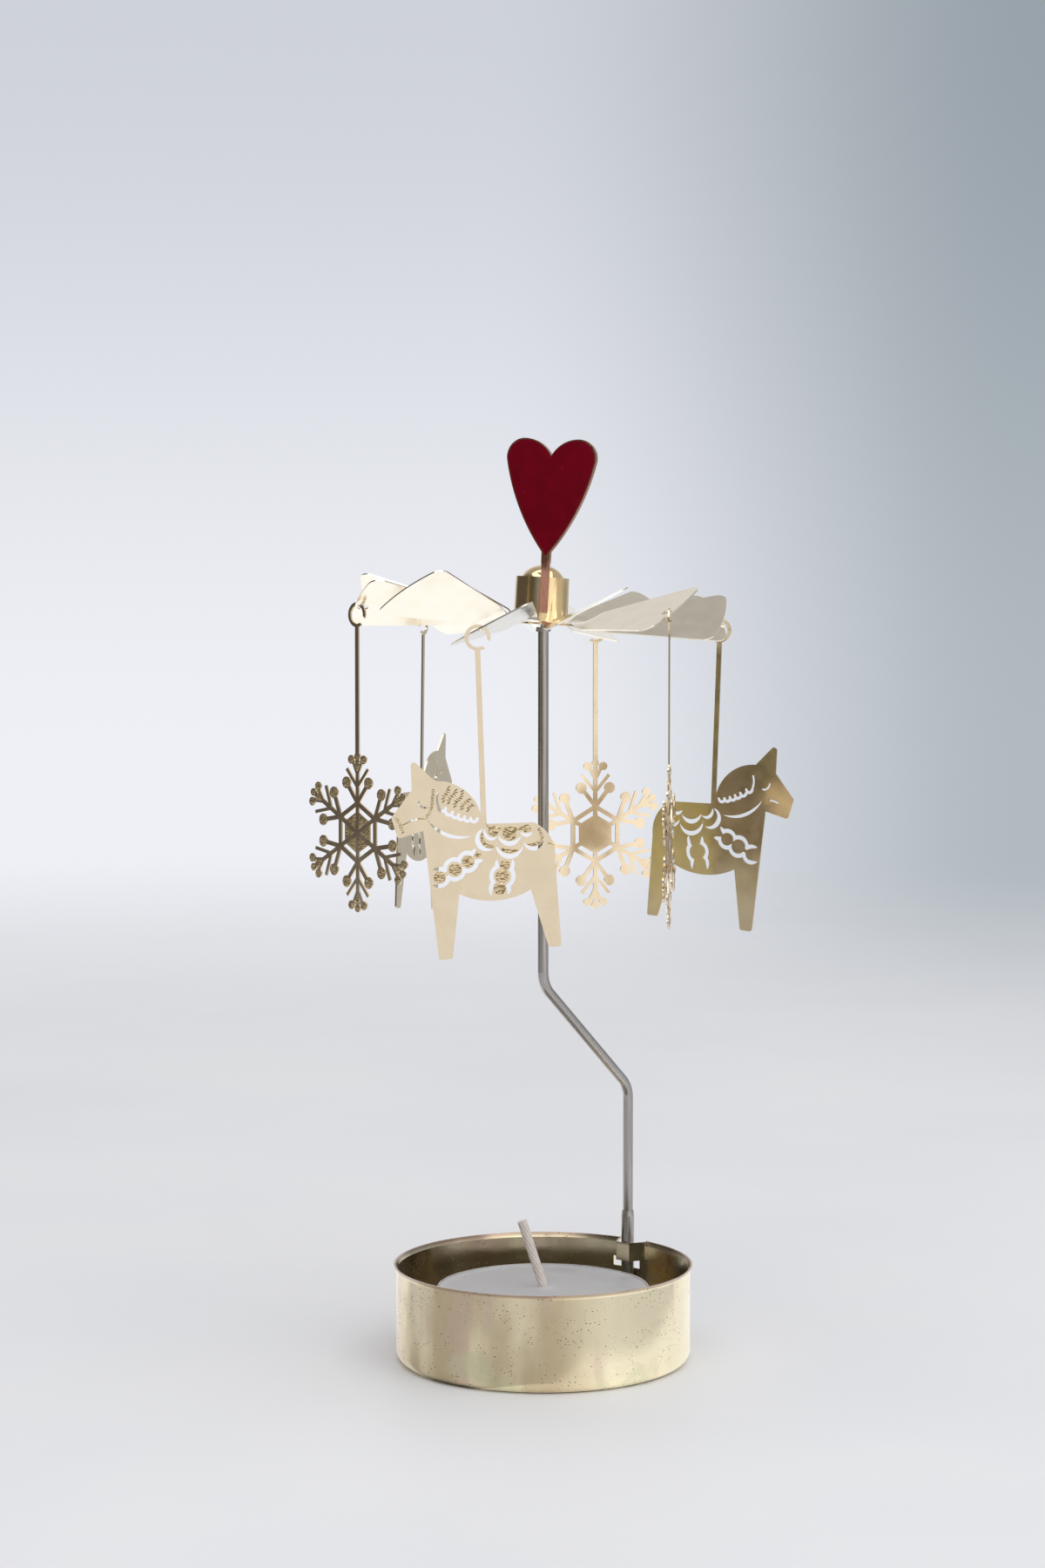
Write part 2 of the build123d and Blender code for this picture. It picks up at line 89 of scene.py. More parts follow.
# Room that the object mirrors, in soft patches: way of mixing, heading, outer and inner angle, colour
room_colour = (0.28, 0.29, 0.31)
room_patches = [
    ("ADD", -172, 0, 55, 20, (0.50, 0.51, 0.54)),
    ("ADD", 150, 5, 60, 20, (0.14, 0.16, 0.17)),
    ("ADD", 26, 3, 38, 20, (0.62, 0.61, 0.60)),
    ("ADD", 66, 2, 46, 18, (0.34, 0.31, 0.27)),
    ("ADD", 0, 90, 75, 30, (0.26, 0.26, 0.27)),
    ("MULTIPLY", 180, 45, 42, 18, (0.80, 0.75, 0.69)),
    ("MIX", -85, 0, 72, 40, (0.10, 0.09, 0.08)),
    ("ADD", -61, -7, 10.6, 9.6, (0.48, 0.42, 0.10)),
]

# Wall that the camera sees, made the same way
wall_colour = (0.86, 0.87, 0.92)
wall_patches = [
    ("MIX", 90, 0, 91, 80, (0.44, 0.49, 0.53)),
    ("MULTIPLY", 0, 90, 93, 78, (0.72, 0.74, 0.76)),
]

# Where the tones of a noise start and end: its middle share and a wider one
noise_middle = (0.35, 0.65)
noise_wide = (0.3, 0.7)

# Polished sheets: dark and light colour, least and most roughness, length and depth of the waves
mirror_metals = {
    "propeller_brass": ((0.95, 0.89, 0.75), (0.98, 0.925, 0.80), 0.10, 0.2, 9, 0.02),
    "hub_brass": ((0.80, 0.60, 0.33), (0.88, 0.70, 0.42), 0.07, 0.16, 6, 0.01),
    "pendant_brass": ((0.80, 0.67, 0.48), (0.83, 0.70, 0.51), 0.12, 0.18, 14, 0.12),
}
smear_grain = 4
gloss_grain = 2.5

# Drawn or rolled metals: dark and light colour, least and most roughness, grain along each axis
streaked_metals = {
    "stem_copper": ((0.38, 0.18, 0.12), (0.54, 0.27, 0.19), 0.2, 0.38, (0.15, 0.15, 2)),
    "pole_steel": ((0.36, 0.335, 0.32), (0.485, 0.46, 0.445), 0.14, 0.3, (0.12, 0.12, 9)),
    "sleeve_steel": ((0.36, 0.34, 0.32), (0.52, 0.50, 0.47), 0.25, 0.42, (0.2, 0.2, 4)),
    "needle_steel": ((0.62, 0.62, 0.62), (0.74, 0.74, 0.74), 0.1, 0.2, (0.5, 0.5, 0.05)),
    "cup_aluminium": ((0.74, 0.75, 0.76), (0.86, 0.87, 0.88), 0.22, 0.4, (3, 3, 0.1)),
}
streak_depth = 0.003

# Etched metals: colour of the ground and of the bright grains, which are smoother
etched_metals = {
    "etched_brass": ((0.30, 0.21, 0.10), (0.86, 0.69, 0.43)),
    "etched_stroke": ((0.20, 0.14, 0.06), (0.52, 0.39, 0.20)),
}
etched_grain = (0.75, 0.75, 0.17)
etched_range = (0.43, 0.57)
etched_roughness = (0.6, 0.26)
etched_depth = 0.02

# Tin: brass plating in bands, with clouds of roughness and drawing lines
tin_bright = (0.82, 0.72, 0.51)
tin_dull = (0.55, 0.45, 0.29)
tin_bands = (8, 8, 30)
tin_clouds = (5, 5, 3)
tin_roughness = (0.17, 0.27)
tin_lines = (6, 6, 0.12)
tin_line_depth = 0.004

# Tin: painted reflection, a paler tone on the side to the right of the camera; it starts and is full at a
# distance from the middle along its heading
reflection_side_turn = 90
reflection_side_start = 1.5 * MM
reflection_side_end = 12.0 * MM
painted_reflection_strength = 0.85
painted_reflection_colour = (0.87, 0.79, 0.57)

# Tin: pink and green tarnish by grain, start and end of its noise, strength and colour
tin_tarnish = [
    ((7, 7, 20), 0.54, 0.66, 0.55, (0.62, 0.47, 0.38)),
    ((9, 9, 6), 0.55, 0.70, 0.55, (0.58, 0.58, 0.38)),
]

# Tin: dark specks, gathered in zones; each is full and has gone at a distance from its middle, in grains
speck_grain = (0.8, 0.8, 0.5)
speck_full = 0.11
speck_gone = 0.22
speck_strength = 0.85
speck_colour = (0.10, 0.08, 0.05)
speck_zones = (6, 6, 4)
speck_zone_range = (0.42, 0.58)

# Tin: painted shade, a dark band at the top of the wall in place of the shade under the rolled lip
rim_height = 17.0 * MM
rim_shade_fade = 0.5 * MM
rim_shade_strength = 0.75
rim_shade_colour = (0.33, 0.22, 0.16)

# Enamel: cloudy red with smears, an orange peel, and light specks that are partly dust and partly painted
# glints
enamel_light = (0.18, 0.001, 0.011)
enamel_deep = (0.155, 0.001, 0.009)
enamel_clouds = 3
enamel_shine = 0.25
enamel_smears = 1.2
enamel_roughness = (0.08, 0.16)
peel_grain = 1.5
peel_depth = 0.004
dust_and_glint_grain = 2.2
dust_and_glint_full = 0.03
dust_and_glint_gone = 0.06
dust_and_glint_strength = 0.5
dust_and_glint_colour = (0.40, 0.10, 0.10)

# Wax: clear and milky clouds that let some light in, with a grainy face
wax_clear = (0.60, 0.59, 0.60)
wax_milky = (0.66, 0.65, 0.655)
wax_clouds = 3.5
wax_roughness = (0.38, 0.6)
wax_glow = 0.25
wax_glow_reach = (3.0 * MM, 2.8 * MM, 2.5 * MM)
wax_grain = 1.1
wax_grain_depth = 0.015

# Wick: a braid with waxed fuzz
wick_shadow = (0.62, 0.53, 0.47)
wick_thread = (0.84, 0.77, 0.72)
wick_roughness = (0.8, 0.55)
braid_grain = 0.5
braid_scale = 0.35
braid_warp = 1.5
braid_depth = 0.06
fuzz_grain = (0.4, 0.4, 1.2)
fuzz_strength = 0.5
fuzz_colour = (0.88, 0.82, 0.77)

# Finish of each node; every other node is a pendant
pendant_finish = "pendant_brass"
node_finishes = {
    "base_tin": "tin_brass",
    "bent_pole": "pole_steel",
    "pole_foot_sleeve": "sleeve_steel",
    "pole_top_collar": "sleeve_steel",
    "pivot_needle": "needle_steel",
    "propeller": "propeller_brass",
    "hub_dome": "hub_brass",
    "bearing_cup": "hub_brass",
    "hub_band": "hub_brass",
    "heart_topper": "stem_copper",
    "tealight_cup": "cup_aluminium",
    "tealight_wax": "wax",
    "tealight_wick": "wick_cotton",
    "wick_sustainer": "cup_aluminium",
}

# Figures, seen from their etched front, measured from the middle of their ring
pendant_count = 3
pendant_sheet = 0.3 * MM
horse_foot = (1.1, -31.2)
flake_middle = (0.0, -38.3)

# Etched relief: rim sunk in the sheet, grains standing up at random, the least to a share of the height
relief_sink = 0.004
relief_height = 0.05
relief_least = 0.25
grain_along = 0.5
grain_across = 0.17
grain_jitter = 0.35
weld_distance = 1e-7

# Points round a circle, and along the outer and the inner side of a sickle
circle_points = 18
sickle_outer_points = 20
sickle_inner_points = 16

# Short stroke, in shares of its length and width: its outline and its raised spine
stroke_outline = [(-0.5, 0), (-0.25, -0.5), (0.25, -0.5), (0.5, 0), (0.25, 0.5), (-0.25, 0.5)]
stroke_spine = [(-0.25, 0), (0, 0), (0.25, 0)]

# Horse ornament, from the foot of its rod, nose to the left: beads and saddle lobes by middle and radius
beads = [
    ((-7.5, -8.9), 1.02),
    ((-4.92, -7.68), 1.1),
    ((-2.72, -6.35), 1.0),
    ((-1.05, -5.15), 0.55),
    ((3.5, -6.95), 0.88),
    ((3.04, -8.85), 1.15),
    ((2.62, -10.95), 1.05),
]
saddle_lobes = [((1.55, -1.2), 0.9), ((4.3, -1.65), 1.22), ((7.2, -0.85), 0.72)]

# Sickles of the saddle: middle, radius, thickness, direction of the thick side, spread of the horns
saddle_sickles = [
    ((1.08, -2.36), 1.74, 0.72, 225, 95),
    ((4.36, -2.7), 2.3, 0.75, 267, 58),
    ((8.23, -2.0), 1.8, 0.6, 300, 70),
]
saddle_band = [(1.2, -0.95), (2.6, -0.85), (4.3, -0.9), (5.9, -0.85), (7.2, -0.6)]
saddle_band_width = 0.6

# Strokes across a path: the paths, the steps, length and width of a stroke, and its random lean in radians
cross_paths = [
    [(-8.6, 5.8), (-8.7, 4.4), (-8.75, 3.2), (-9.1, 2.0), (-9.7, 1.2)],
    [(-14.8, 1.15), (-14.1, -0.1), (-13.55, -1.5)],
    [(9.25, -0.9), (9.65, -1.8), (9.85, -2.8)],
]
cross_step = 0.34
cross_dash = (0.72, 0.2)
cross_sway = 0.4

# Strokes along a path
line_paths = [
    [(-14.1, -0.3), (-12.8, 0.35)],
    [(-10.7, 0.95), (-9.6, 0.9)],
    [(0.35, -0.05), (0.95, -0.85)],
    [(10.9, -3.3), (11.8, -3.6)],
]
line_step = 0.42
line_dash = (0.6, 0.2)

# Strokes of the mane: its columns wave from side to side, and the strokes lean with the wave and at random
mane_columns = [
    [(-6.8, 3.9), (-6.05, 6.2)],
    [(-5.95, 3.6), (-4.75, 5.9)],
    [(-4.9, 3.0), (-3.55, 5.5)],
    [(-3.75, 2.55), (-2.55, 4.5)],
    [(-2.7, 2.3), (-1.85, 3.2)],
]
mane_step = 0.4
mane_dash = (0.9, 0.26)
mane_wave = 0.24
mane_lean = 0.6
mane_sway = 0.2

# Snowflake ornament, one arm pointing up
arm_count = 6
knob_places = [(-2.85, 8.75), (2.85, 8.75)]
knob_radius = 0.95
leaf_places = [(-1.6, 12.85), (1.6, 12.85)]
leaf_radius = 0.68
leaf_points = 14
tip_place = (0.0, 13.4)
tip_radius = 0.6
tip_points = 12
spade = [(0.0, 10.6), (1.25, 12.6), (-1.25, 12.6)]
pinholes = [(-0.55, 12.3), (0.55, 12.3)]
pinhole_radius = 0.2
pinhole_points = 8
flake_seed = 10

# Wedges round the snowflake's middle: distance from it and half width at both ends
wedge_inner = 0.75
wedge_inner_half = 0.1
wedge_outer = 3.1
wedge_outer_half = 1.35

# Heart: its outline, and where it stands on the rotor
heart_height = 20.7
heart_width = 16.8
heart_lobe = 3.3
heart_notch = 3.0
heart_side_lean = 12.0
heart_sheet = 1.0
heart_tip = 143.5
heart_turn = 43.5
heart_twist = -26.0
heart_offset = 5.34
heart_side_points = 25
heart_lobe_points = 25
heart_notch_points = 15

# Coat of enamel: share of the heart that it covers, half its thickness, its rounded edge and its crown
enamel_margin = 0.975
enamel_lift = 0.03
enamel_edge = 0.16
enamel_crown = 0.06
enamel_smooth_angle = 50

# The rotor rests out of level on the tip of its needle, low on one side
rotor_tilt = 3.4
rotor_tilt_turn = 40.0
needle_tip = 141.15

# Skin of the wax: drawn up at the wick and at the wall, each rise fading over a length
wax_radius = 18.76
wax_top = 12.5
wax_sink = 0.05
wax_rise_at_wick = 0.45
wax_fade_at_wick = 0.7
wax_rise_at_wall = 0.18
wax_fade_at_wall = 0.8
wax_least_rise = 0.005
wick_radius = 0.9

# Faint waves of the wax: count, height, most radians in a millimetre
wax_wave_count = 9
wax_wave_height = 0.006
wax_wave_turn = 0.5
wax_seed = 3

# Rings of the wax lie closer together near the wick, by this power
wax_rings = 28
wax_ring_power = 1.4
wax_sides = 96
wax_smooth_angle = 40


def heading(turn, lift=0.0):
    """Direction seen from the object: degrees to the right of the camera, and upwards."""
    angle = radians(camera_turn - 90 + turn)
    flat = cos(radians(lift))
    return Vector((cos(angle) * flat, sin(angle) * flat, sin(radians(lift))))


class Nodes:
    """Node tree, with ways to work on its values and colours."""

    def __init__(self, tree):
        self.tree = tree

    def add(self, kind):
        return self.tree.nodes.new(kind)

    def join(self, output, socket):
        self.tree.links.new(output, socket)

    def along(self, places, direction):
        """How far places lie along a direction."""
        reach = self.add("ShaderNodeVectorMath")
        reach.operation = "DOT_PRODUCT"
        reach.inputs[1].default_value = direction
        self.join(places, reach.inputs[0])
        return reach.outputs["Value"]

    def remap(self, value, start, end, low, high):
        """Smooth way from low to high while a value goes from start to end."""
        step = self.add("ShaderNodeMapRange")
        step.interpolation_type = "SMOOTHSTEP"
        limits = {"From Min": start, "From Max": end, "To Min": low, "To Max": high}
        for name, limit in limits.items():
            step.inputs[name].default_value = limit
        self.join(value, step.inputs["Value"])
        return step.outputs["Result"]

    def combine(self, operation, first, second):
        """Sum or product of two values."""
        result = self.add("ShaderNodeMath")
        result.operation = operation
        self.join(first, result.inputs[0])
        self.join(second, result.inputs[1])
        return result.outputs["Value"]

    def mix(self, mode, factor, first, second):
        """Mix of two colours; each is a colour or a socket."""
        mix = self.add("ShaderNodeMix")
        mix.data_type = "RGBA"
        mix.blend_type = mode
        self.join(factor, mix.inputs["Factor"])
        for socket, colour in ((mix.inputs[MIX_FIRST], first), (mix.inputs[MIX_SECOND], second)):
            if isinstance(colour, tuple):
                socket.default_value = (*colour, 1.0)
            else:
                self.join(colour, socket)
        return mix.outputs[MIX_RESULT]


class Finish(Nodes):
    """Finish round a Principled shader; its textures follow the object."""

    def __init__(self, name, metallic=1.0):
        self.material = bpy.data.materials.new(name)
        self.material.use_nodes = True
        super().__init__(self.material.node_tree)
        self.shader = self.tree.nodes["Principled BSDF"]
        self.set("Metallic", metallic)
        self.places = self.add("ShaderNodeTexCoord").outputs["Object"]

    def set(self, socket, value):
        self.shader.inputs[socket].default_value = value

    def link(self, output, socket):
        self.join(output, self.shader.inputs[socket])

    def texture(self, kind, grain):
        """Texture whose grain is one size in millimetres, or one along each axis."""
        sizes = grain if isinstance(grain, tuple) else (grain, grain, grain)
        mapping = self.add("ShaderNodeMapping")
        mapping.inputs["Scale"].default_value = [1 / (size * MM) for size in sizes]
        self.join(self.places, mapping.inputs["Vector"])
        texture = self.add(kind)
        texture.inputs["Scale"].default_value = 1.0
        self.join(mapping.outputs["Vector"], texture.inputs["Vector"])
        return texture

    def noise(self, grain, detail=3.0):
        """Soft noise."""
        texture = self.texture("ShaderNodeTexNoise", grain)
        texture.inputs["Detail"].default_value = detail
        return texture.outputs["Fac"]

    def spots(self, grain):
        """Distance from scattered points, in grains."""
        return self.texture("ShaderNodeTexVoronoi", grain).outputs["Distance"]

    def tint(self, factor, first, second):
        """Colour between two others; each is a colour or a socket."""
        return self.mix("MIX", factor, first, second)

    def bump(self, height, depth):
        """Relief of a height map, its depth in millimetres."""
        relief = self.add("ShaderNodeBump")
        relief.inputs["Strength"].default_value = 1.0
        relief.inputs["Distance"].default_value = depth * MM
        self.join(height, relief.inputs["Height"])
        self.link(relief.outputs["Normal"], "Normal")


def tin_finish(name):
    """Thin brass plating: drawing lines, a painted reflection on one side, tarnish, dark specks and a band
    of painted shade at the rim.
    """
    finish = Finish(name)
    bands = finish.remap(finish.noise(tin_bands), *noise_middle, 0, 1)
    colour = finish.tint(bands, tin_bright, tin_dull)
    # Painted reflection: the side to the right of the camera is tinted paler, in place of the bright
    # surroundings it mirrors.
    side = finish.along(finish.places, heading(reflection_side_turn))
    painted_reflection = finish.remap(side, reflection_side_start, reflection_side_end, 0, painted_reflection_strength)
    colour = finish.tint(painted_reflection, colour, painted_reflection_colour)
    for grain, start, end, strength, tone in tin_tarnish:
        stain = finish.remap(finish.noise(grain), start, end, 0, strength)
        colour = finish.tint(stain, colour, tone)
    zones = finish.remap(finish.noise(speck_zones), *speck_zone_range, 0, 1)
    specks = finish.remap(finish.spots(speck_grain), speck_full, speck_gone, speck_strength, 0)
    speckle = finish.combine("MULTIPLY", specks, zones)
    colour = finish.tint(speckle, colour, speck_colour)
    # Painted shade: a dark band at the top of the wall, in place of the shade under the rolled lip.
    height = finish.along(finish.places, UP)
    rim = finish.remap(height, rim_height - rim_shade_fade, rim_height, 0, rim_shade_strength)
    finish.link(finish.tint(rim, colour, rim_shade_colour), "Base Color")
    clouds = finish.remap(finish.noise(tin_clouds), *noise_wide, *tin_roughness)
    rough_specks = finish.combine("MULTIPLY", speckle, zones)
    finish.link(finish.combine("ADD", clouds, rough_specks), "Roughness")
    finish.bump(finish.noise(tin_lines, detail=2.0), tin_line_depth)
    return finish.material


def mirror_finish(name, dark, light, smooth, rough, waves, depth):
    """Polished sheet metal with faint smears and a slightly wavy face."""
    finish = Finish(name)
    smears = finish.remap(finish.noise(smear_grain), *noise_middle, 0, 1)
    finish.link(finish.tint(smears, dark, light), "Base Color")
    gloss = finish.noise(gloss_grain, detail=5.0)
    finish.link(finish.remap(gloss, *noise_wide, smooth, rough), "Roughness")
    finish.bump(finish.noise(waves, detail=1.0), depth)
    return finish.material


def streaked_finish(name, dark, light, smooth, rough, grain):
    """Drawn or rolled metal with fine streaks along its grain."""
    finish = Finish(name)
    streaks = finish.noise(grain, detail=4.0)
    finish.link(finish.tint(finish.remap(streaks, *noise_wide, 0, 1), dark, light), "Base Color")
    finish.link(finish.remap(streaks, *noise_wide, smooth, rough), "Roughness")
    finish.bump(streaks, streak_depth)
    return finish.material


def etched_finish(name, ground, bright):
    """Rough etched brass that glitters: bright grains over a dark ground."""
    finish = Finish(name)
    grains = finish.remap(finish.noise(etched_grain, detail=2.0), *etched_range, 0, 1)
    finish.link(finish.tint(grains, ground, bright), "Base Color")
    finish.link(finish.remap(grains, 0, 1, *etched_roughness), "Roughness")
    finish.bump(grains, etched_depth)
    return finish.material


def enamel_finish(name):
    """Deep red gloss enamel with a faint orange peel and a few light specks, partly dust and partly painted
    glints.
    """
    finish = Finish(name, metallic=0.0)
    finish.set("Specular IOR Level", enamel_shine)
    clouds = finish.remap(finish.noise(enamel_clouds), *noise_middle, 0, 1)
    red = finish.tint(clouds, enamel_light, enamel_deep)
    # Light specks: partly dust, partly painted glints of light.
    dust_and_glint = finish.remap(finish.spots(dust_and_glint_grain), dust_and_glint_full, dust_and_glint_gone, dust_and_glint_strength, 0)
    finish.link(finish.tint(dust_and_glint, red, dust_and_glint_colour), "Base Color")
    smears = finish.noise(enamel_smears)
    finish.link(finish.remap(smears, *noise_wide, *enamel_roughness), "Roughness")
    finish.bump(finish.noise(peel_grain, detail=1.0), peel_depth)
    return finish.material


def wax_finish(name):
    """Cloudy paraffin wax."""
    finish = Finish(name, metallic=0.0)
    finish.set("Subsurface Weight", wax_glow)
    finish.set("Subsurface Radius", wax_glow_reach)
    finish.set("Subsurface Scale", 1.0)
    clouds = finish.remap(finish.noise(wax_clouds, detail=5.0), *noise_wide, 0, 1)
    finish.link(finish.tint(clouds, wax_clear, wax_milky), "Base Color")
    finish.link(finish.remap(clouds, 0, 1, *wax_roughness), "Roughness")
    finish.bump(finish.noise(wax_grain, detail=4.0), wax_grain_depth)
    return finish.material


def wick_finish(name):
    """Waxed braided cotton."""
    finish = Finish(name, metallic=0.0)
    braid = finish.texture("ShaderNodeTexWave", braid_grain)
    braid.bands_direction = "DIAGONAL"
    braid.inputs["Scale"].default_value = braid_scale
    braid.inputs["Distortion"].default_value = braid_warp
    strands = braid.outputs["Fac"]
    cotton = finish.tint(strands, wick_shadow, wick_thread)
    fuzz = finish.remap(finish.noise(fuzz_grain), *noise_middle, 0, fuzz_strength)
    finish.link(finish.tint(fuzz, cotton, fuzz_colour), "Base Color")
    finish.link(finish.remap(strands, 0, 1, *wick_roughness), "Roughness")
    finish.bump(strands, braid_depth)
    return finish.material


def floor_finish(name):
    """Plain pale table top that fades out far from the object."""
    finish = Finish(name, metallic=0.0)
    finish.set("Roughness", floor_roughness)
    clouds = finish.remap(finish.noise(floor_clouds), *noise_wide, 0, 1)
    finish.link(finish.tint(clouds, floor_grey, floor_white), "Base Color")
    reach = finish.add("ShaderNodeVectorMath")
    reach.operation = "LENGTH"
    finish.join(finish.places, reach.inputs[0])
    fade = finish.remap(reach.outputs["Value"], floor_fade_start, floor_fade_end, 1, 0)
    finish.link(fade, "Alpha")
    return finish.material


def circle_loop(centre, radius, count=circle_points):
    """Points round a circle."""
    turns = [2 * pi * number / count for number in range(count)]
    return [(centre[0] + radius * cos(turn), centre[1] + radius * sin(turn)) for turn in turns]


def arc_points(centre, radius, start, size, count):
    """Points along an arc given in degrees."""
    turns = [radians(start + size * number / (count - 1)) for number in range(count)]
    return [(centre[0] + radius * cos(turn), centre[1] + radius * sin(turn)) for turn in turns]


def sickle_loop(centre, radius, thickness, turn, spread):
    """Sickle whose thick side lies in one direction, its horns spread to both sides of it."""
    inner = radius - thickness
    shift = (radius**2 - inner**2) / (2 * (inner - radius * cos(radians(spread))))
    away = (centre[0] - shift * cos(radians(turn)), centre[1] - shift * sin(radians(turn)))
    outer = arc_points(centre, radius, turn - spread, 2 * spread, sickle_outer_points)
    horn = outer[-1]
    half = (degrees(atan2(horn[1] - away[1], horn[0] - away[0])) - turn) % 360
    return outer + arc_points(away, inner + shift, turn + half, -2 * half, sickle_inner_points)[1:-1]


def along_path(path, step):
    """Evenly spaced places and directions along a run of straight pieces."""
    places = []
    left = 0.0
    for start, end in zip(path, path[1:]):
        run = (end[0] - start[0], end[1] - start[1])
        length = hypot(*run)
        turn = atan2(run[1], run[0])
        while left < length:
            share = left / length
            places.append(((start[0] + run[0] * share, start[1] + run[1] * share), turn))
            left += step
        left -= length
    return places


def band_loop(path, width):
    """Outline of a strip of even width along a path."""
    low = []
    high = []
    for number, place in enumerate(path):
        before = path[max(number - 1, 0)]
        after = path[min(number + 1, len(path) - 1)]
        turn = atan2(after[1] - before[1], after[0] - before[0])
        side = (-sin(turn) * width / 2, cos(turn) * width / 2)
        low.append((place[0] - side[0], place[1] - side[1]))
        high.append((place[0] + side[0], place[1] + side[1]))
    return low + high[::-1]


def turned(point, turn):
    """Point turned about the middle of the sketch."""
    return (point[0] * cos(turn) - point[1] * sin(turn), point[0] * sin(turn) + point[1] * cos(turn))


def inside(point, loop):
    """Whether a point lies inside a closed outline."""
    found = False
    for start, end in zip(loop, loop[1:] + loop[:1]):
        if (start[1] > point[1]) != (end[1] > point[1]):
            cross = start[0] + (point[1] - start[1]) * (end[0] - start[0]) / (end[1] - start[1])
            if point[0] < cross:
                found = not found
    return found


def clearance(point, loop):
    """Distance from a point to an outline."""
    nearest = float("inf")
    for start, end in zip(loop, loop[1:] + loop[:1]):
        run = (end[0] - start[0], end[1] - start[1])
        reach = (point[0] - start[0]) * run[0] + (point[1] - start[1]) * run[1]
        share = min(max(reach / (run[0]**2 + run[1]**2), 0.0), 1.0)
        near = (start[0] + run[0] * share, start[1] + run[1] * share)
        nearest = min(nearest, hypot(point[0] - near[0], point[1] - near[1]))
    return nearest


class Relief:
    """Closed low relief on the front of a pendant, gathered from many outlines."""

    def __init__(self, body, origin, seed):
        joint = joints[f"{body}_swing"]
        front = -Vector(joint["axis"])
        self.axes = (UP.cross(front), UP, front)
        self.origin = Vector(joint["pos_m"]) + front * (pendant_sheet / 2)
        self.shift = origin
        self.draw = random.Random(seed)
        self.points = []
        self.faces = []

    def place(self, point, height):
        """Place in the scene for a place in the sketch and a height over the sheet."""
        across, up, front = self.axes
        x = (point[0] + self.shift[0]) * MM
        y = (point[1] + self.shift[1]) * MM
        return self.origin + across * x + up * y + front * (height * MM)

    def grains(self, loop):
        """Jittered rows of grain inside an outline."""
        xs = [point[0] for point in loop]
        ys = [point[1] for point in loop]
        rows = int((max(ys) - min(ys)) / grain_across) + 1
        columns = int((max(xs) - min(xs)) / grain_along) + 2
        grains = []
        for row in range(rows):
            for column in range(columns):
                x = min(xs) + (column + 0.5 * (row % 2)) * grain_along
                y = min(ys) + (row + 0.5) * grain_across
                x += self.draw.uniform(-grain_jitter, grain_jitter) * grain_along
                y += self.draw.uniform(-grain_jitter, grain_jitter) * grain_across
                if inside((x, y), loop) and clearance((x, y), loop) > grain_across / 2:
                    grains.append((x, y))
        return grains

    def stroke(self, centre, length, width, turn):
        """Short stroke with pointed ends and a raised spine."""
        def placed(point):
            aside = turned((point[0] * length, point[1] * width), turn)
            return (centre[0] + aside[0], centre[1] + aside[1])

        self.patch([[placed(point) for point in stroke_outline]], [placed(point) for point in stroke_spine])

    def add(self, loop, holes=()):
        """Patch covered with grains, save in its holes."""
        grains = [
            grain for grain in self.grains(loop)
            if not any(inside(grain, hole) or clearance(grain, hole) < grain_across / 2 for hole in holes)
        ]
        self.patch([loop, *holes], grains)

    def patch(self, outlines, grains):
        """One patch: its rims sunk in the sheet, its grains standing up at random."""
        loop, *holes = outlines
        flat = []
        edges = []
        for outline in outlines:
            ring = [len(flat) + number for number in range(len(outline))]
            edges += zip(ring, ring[1:] + ring[:1])
            flat += outline
        every = [Vector(point) for point in flat + grains]
        verts, _, faces, _, _, _ = delaunay_2d_cdt(every, edges, [], FILL_HULL, weld_distance)
        kept = []
        for face in faces:
            middle = sum((verts[number] for number in face), Vector((0, 0))) / len(face)
            if inside(middle, loop) and not any(inside(middle, hole) for hole in holes):
                kept.append(face)
        self.close(verts, kept)

    def close(self, verts, faces):
        """Top of a patch and, under it, its flat bottom."""
        uses = {}
        for face in faces:
            for start, end in zip(face, face[1:] + face[:1]):
                key = (min(start, end), max(start, end))
                uses[key] = uses.get(key, 0) + 1
        rim = {number for edge, count in uses.items() if count == 1 for number in edge}
        top = {}
        bottom = {}
        for number in sorted({number for face in faces for number in face}):
            height = -relief_sink
            if number not in rim:
                height = self.draw.uniform(relief_least, 1.0) * relief_height
            top[number] = len(self.points)
            self.points.append(self.place(verts[number], height))
            bottom[number] = top[number]
            if number not in rim:
                bottom[number] = len(self.points)
                self.points.append(self.place(verts[number], -relief_sink))
        for face in faces:
            self.faces.append([top[number] for number in face])
            self.faces.append([bottom[number] for number in reversed(face)])


def add_object(name, data):
    """Object that shows a mesh, a light or a camera in the scene."""
    added = bpy.data.objects.new(name, data)
    bpy.context.scene.collection.objects.link(added)
    return added


def new_mesh(name, points, faces):
    """Mesh from points and faces."""
    mesh = bpy.data.meshes.new(name)
    mesh.from_pydata([tuple(point) for point in points], [], faces)
    mesh.validate()
    return mesh


def add_piece(name, mesh, finish, body, smooth_angle=None):
    """Piece that rides on a body and takes its finish by name."""
    mesh.materials.append(finishes[finish])
    if smooth_angle is not None:
        mesh.shade_smooth()
        mesh.set_sharp_from_angle(angle=radians(smooth_angle))
    piece = add_object(name, mesh)
    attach(piece, body)


def add_relief(name, relief, finish, body):
    """Piece of etched relief on a pendant."""
    add_piece(name, new_mesh(name, relief.points, relief.faces), finish, body)


